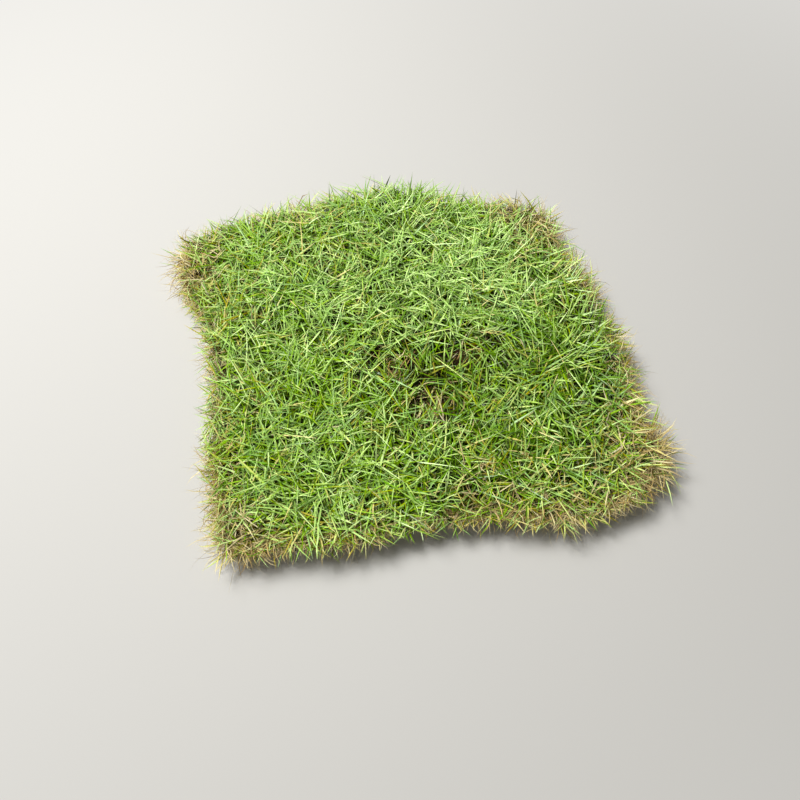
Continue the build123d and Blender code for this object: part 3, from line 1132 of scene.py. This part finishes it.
# %% Hang straw over the cut edge
WISP_STOPS = (0, 0.25, 0.5, 0.75, 1)
WISP_PROFILE = (0.9, 1, 0.85, 0.6)
FRINGE_TRIES = 9400
LEAST_FRINGE = 0.22
FRONT_FRINGE = 0.15
SIDE_FRINGE = 0.22
DRY_FRINGE = 0.5
FRINGE_REACH = 0.25

column = rng.integers(0, column_total, FRINGE_TRIES)
dry, _, tall, _, _ = turf_map(waist[column, 0], waist[column, 1])
front = np.clip(-outward[column, 1], 0, 1)
beside = np.abs(outward[column, 0])
chance = LEAST_FRINGE + FRONT_FRINGE * front + SIDE_FRINGE * beside + DRY_FRINGE * dry
kept = rng.random(FRINGE_TRIES) < chance
column, dry, tall, beside = column[kept], dry[kept], tall[kept], beside[kept]
reach_gain = 1 + DRY_REACH * np.clip(dry, 0, 1) + np.clip(tall, 0, 1) + FRINGE_REACH * beside
fringe_total = column.size
down = rng.uniform(-9, 7, fringe_total) * MM
set_in = rng.uniform(0.5, 7, fringe_total) * MM
start = np.stack([*in_from_edge(column, set_in), brow_heights[column] - down + set_in], axis=1)
azimuth = headings_out(column, 1.4)
tilt = rng.normal(radians(64), radians(24), fringe_total)
bend = rng.uniform(radians(-15), radians(75), fringe_total)
length = rng.uniform(8, 28, fringe_total) * MM * reach_gain
curl = rng.normal(0, radians(75), fringe_total)
paths = strand_paths(start, azimuth, tilt, bend, curl, length, WISP_STOPS)
paths = draw_in(paths, rng.uniform(9, 32, fringe_total) * MM * reach_gain)
loose_strands("fringe_straw", settle(paths), azimuth, (0.45, 1.1), (0.12, 0.26), WISP_PROFILE, WISP_STOPS,
              dry_straw, "grass_sward")

# %% [markdown]
# ## Thatch
#
# Between the shoots lies thatch: brown, half-rotted leaves and stem ends, close to the soil. It is damp,
# dark and matt, and it is what shows in the gaps, so the turf doesn't look like leaves stuck in bare
# earth. It could be painted on the soil, but real strands catch the light and cast small shadows.

# %% Lay the thatch
THATCH_SPACING = 7.6 * MM
THATCH_MARGIN = 3 * MM
old_thatch = plain_strand_material(
    "half_rotted_thatch", [(0.0, "#5c3a20"), (0.3, "#35200f"), (0.5, "#6a4a2c"), (0.7, "#241407"),
                           (0.85, "#33360f"), (1.0, "#7c5a36")], 0.8)
thatch_x, thatch_y = scattered(THATCH_SPACING, THATCH_MARGIN)
thatch_total = thatch_x.size
ground = height_at(soil_heights, thatch_x, thatch_y)
start = np.stack([thatch_x, thatch_y, ground + rng.uniform(0.5, 9, thatch_total) * MM], axis=1)
azimuth = rng.uniform(0, 2 * pi, thatch_total)
tilt = rng.normal(radians(74), radians(12), thatch_total)
bend = rng.uniform(radians(-10), radians(35), thatch_total)
length = rng.uniform(12, 26, thatch_total) * MM
curl = rng.normal(0, radians(35), thatch_total)
paths = strand_paths(start, azimuth, tilt, bend, curl, length, LEAF_STOPS)
loose_strands("thatch", settle(paths), azimuth, (0.9, 2.0), (0.3, 0.7), LEAF_PROFILE, LEAF_STOPS,
              old_thatch, "grass_sward")

# %% [markdown]
# ## Creeping stems and roots
#
# This kind of turf spreads by pale, jointed stems that creep over the soil, smooth and faintly glossy.
# Their profile swells at the joints. The cut leaves their ends and a fringe of thin, matt roots sticking
# out of the side of the soil.

# %% Creep stems over the soil
CREEPER_TOTAL = 210
CREEPER_FLOOR = 20 * MM
CREEPER_REACH = 20 * MM
CREEPER_STOPS = (0, 0.14, 0.28, 0.42, 0.56, 0.7, 0.85, 1)
CREEPER_PROFILE = (0.8, 1, 0.92, 1, 0.9, 0.95, 0.7)
pale_stem = plain_strand_material(
    "pale_creeping_stem", [(0.0, "#d6c48e"), (0.35, "#c2a56d"), (0.6, "#e4d8ae"), (0.8, "#b98f63"),
                           (1.0, "#cdb57c")], 0.5)
pick = rng.integers(0, column_total, CREEPER_TOTAL)
creeper_x, creeper_y = in_from_edge(pick, rng.uniform(2, 60, CREEPER_TOTAL) * MM)
ground = np.maximum(height_at(soil_heights, creeper_x, creeper_y), CREEPER_FLOOR)
lift = rng.uniform(1, 9, CREEPER_TOTAL) * MM
start = np.stack([creeper_x, creeper_y, ground + lift], axis=1)
azimuth = headings_out(pick, 1.1)
tilt = rng.normal(radians(80), radians(9), CREEPER_TOTAL)
bend = rng.uniform(radians(5), radians(50), CREEPER_TOTAL)
curl = rng.normal(0, radians(50), CREEPER_TOTAL)
length = rng.uniform(26, 62, CREEPER_TOTAL) * MM
paths = strand_paths(start, azimuth, tilt, bend, curl, length, CREEPER_STOPS)
beyond = -edge_of(paths[:, -1, 0], paths[:, -1, 1])[0]
loose_strands("creeping_stems", settle(paths), azimuth, (1.3, 2.1), (1.0, 1.5), CREEPER_PROFILE,
              CREEPER_STOPS, pale_stem, "grass_sward", kept=beyond < CREEPER_REACH)

# %% Let roots hang from the cut side
ROOT_TOTAL = 1500
ROOT_SUNK = 1.2  # millimetres
ROOT_STOPS = (0, 0.2, 0.4, 0.6, 0.8, 1)
ROOT_PROFILE = (1, 0.9, 0.8, 0.65, 0.45)
root_fibre = plain_strand_material(
    "pale_root_fibre", [(0.0, "#cdb794"), (0.4, "#a98a63"), (0.7, "#dccdaf"), (1.0, "#8d6f4f")], 0.7)
pick = rng.integers(0, column_total, ROOT_TOTAL)
row = rng.integers(1, SIDE_ROWS + 1, ROOT_TOTAL)
start = side[row, pick].copy()
start[:, :2] -= outward[pick] * ROOT_SUNK * MM
azimuth = headings_out(pick, 0.8)
tilt = rng.normal(radians(92), radians(20), ROOT_TOTAL)
bend = rng.uniform(radians(10), radians(85), ROOT_TOTAL)
curl = rng.normal(0, radians(70), ROOT_TOTAL)
length = rng.uniform(4, 17, ROOT_TOTAL) * MM
paths = strand_paths(start, azimuth, tilt, bend, curl, length, ROOT_STOPS)
paths[:, 1:, 2] = np.maximum(paths[:, 1:, 2], FLOOR_CLEARANCE)
loose_strands("side_roots", paths, azimuth, (0.4, 1.0), (0.3, 0.7), ROOT_PROFILE, ROOT_STOPS, root_fibre,
              "soil_mat")

# %% Hand the soil over to the frame
for piece in (soil, soil_crumbs):
    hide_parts("soil_mat")
    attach(piece, "root")

# %% [markdown]
# ## Last checks
#
# The dressed slab has to stay the size of the CAD model, whose box is printed when it is read in. Here the
# new pieces and their triangles are counted.

# %% Count the triangles
made = [piece for piece in bpy.context.scene.objects
        if piece.type == "MESH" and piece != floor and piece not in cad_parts.values()]
print(len(made), "pieces,", sum(len(piece.data.loops) - 2 * len(piece.data.polygons) for piece in made),
      "triangles")
